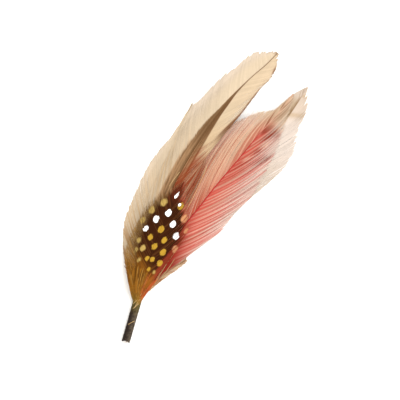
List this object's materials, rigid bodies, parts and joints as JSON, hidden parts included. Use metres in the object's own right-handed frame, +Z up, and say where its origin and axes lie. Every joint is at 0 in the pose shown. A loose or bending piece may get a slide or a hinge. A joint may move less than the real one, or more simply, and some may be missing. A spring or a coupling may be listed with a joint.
{
  "type": "bunch of hat trim feathers",
  "caption": "Flat bunch of cream, red, barred and spotted feathers with their quills bound in a short taped stem.",
  "frame": {"origin": "middle of the bunch's bounding box, at the surface that it lies on", "axes": "+Y from the stem to the feathers' tips, +X across the vanes, +Z up from the surface"},
  "size_m": [0.0498, 0.1312, 0.0088],
  "materials": {
    "stem_tape": "dark waxed tape, dull",
    "cream_vane": "soft barbs with a silky sheen",
    "red_vane": "dyed soft barbs, red at the shaft",
    "pale_barred_vane": "ivory barbs with faint bars",
    "brown_barred_vane": "beige barbs with brown bars",
    "gold_vane": "gold dyed barbs",
    "spotted_vane": "dark brown barbs with pale spots"
  },
  "bodies": {
    "root": {"stem_wrap": "stem_tape", "cream_feather": "cream_vane", "cream_side_feather": "cream_vane", "red_feather": "red_vane", "pale_barred_feather": "pale_barred_vane", "small_barred_feather": "brown_barred_vane", "gold_feather": "gold_vane", "spotted_feather": "spotted_vane"}
  },
  "joints": []
}
